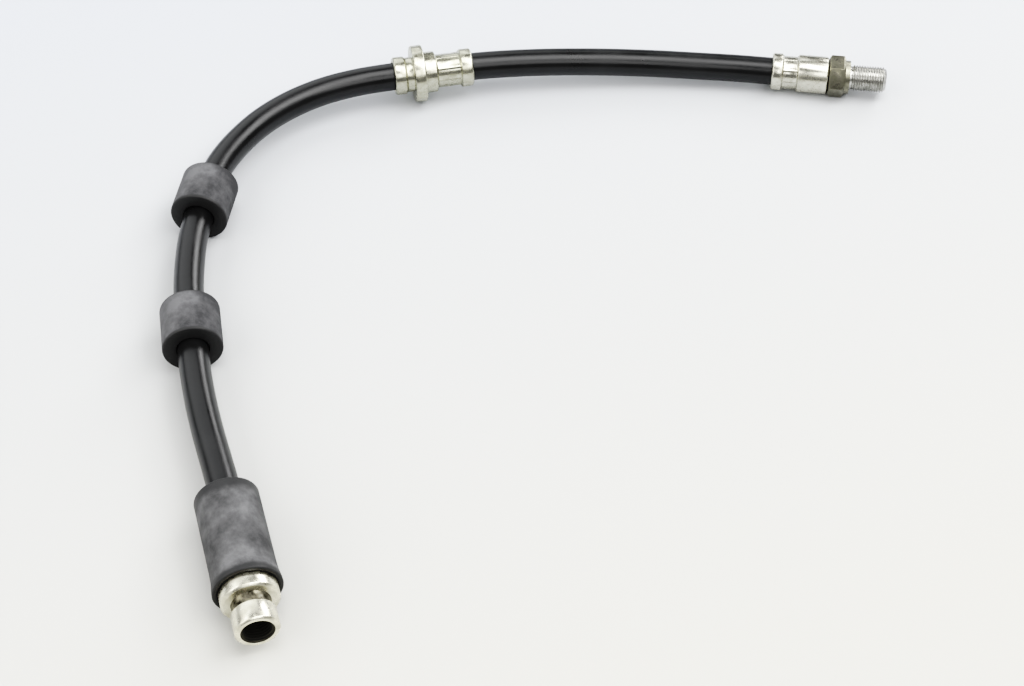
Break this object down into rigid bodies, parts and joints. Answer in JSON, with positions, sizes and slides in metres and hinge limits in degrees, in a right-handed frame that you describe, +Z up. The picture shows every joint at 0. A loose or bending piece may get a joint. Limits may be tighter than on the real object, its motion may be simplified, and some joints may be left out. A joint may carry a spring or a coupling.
{
  "type": "brake hose",
  "caption": "Rubber hydraulic brake hose lying in a curve, with crimped steel end fittings, a flanged middle fitting, rubber grommets and a protective sleeve.",
  "frame": {"origin": "on the surface that the hose lies on, under the middle of its bounding box", "axes": "+Z up; the female end's axis runs along Y with its mouth facing -Y; +X runs from the female end's side towards the male end"},
  "size_m": [0.2944, 0.2494, 0.022],
  "materials": {
    "hose_rubber": "satin black rubber",
    "grey_rubber": "matt dark grey rubber with a dusty bloom",
    "zinc_steel": "bright zinc-plated steel",
    "dark_steel": "darker olive zinc-plated steel"
  },
  "bodies": {
    "root": {"hose": "hose_rubber", "female_fitting": "zinc_steel", "female_crimp_shell": "zinc_steel", "protective_sleeve": "grey_rubber", "near_grommet": "grey_rubber", "far_grommet": "grey_rubber", "middle_fitting": "zinc_steel", "male_crimp_shell": "zinc_steel", "male_fitting": "dark_steel"}
  },
  "joints": []
}
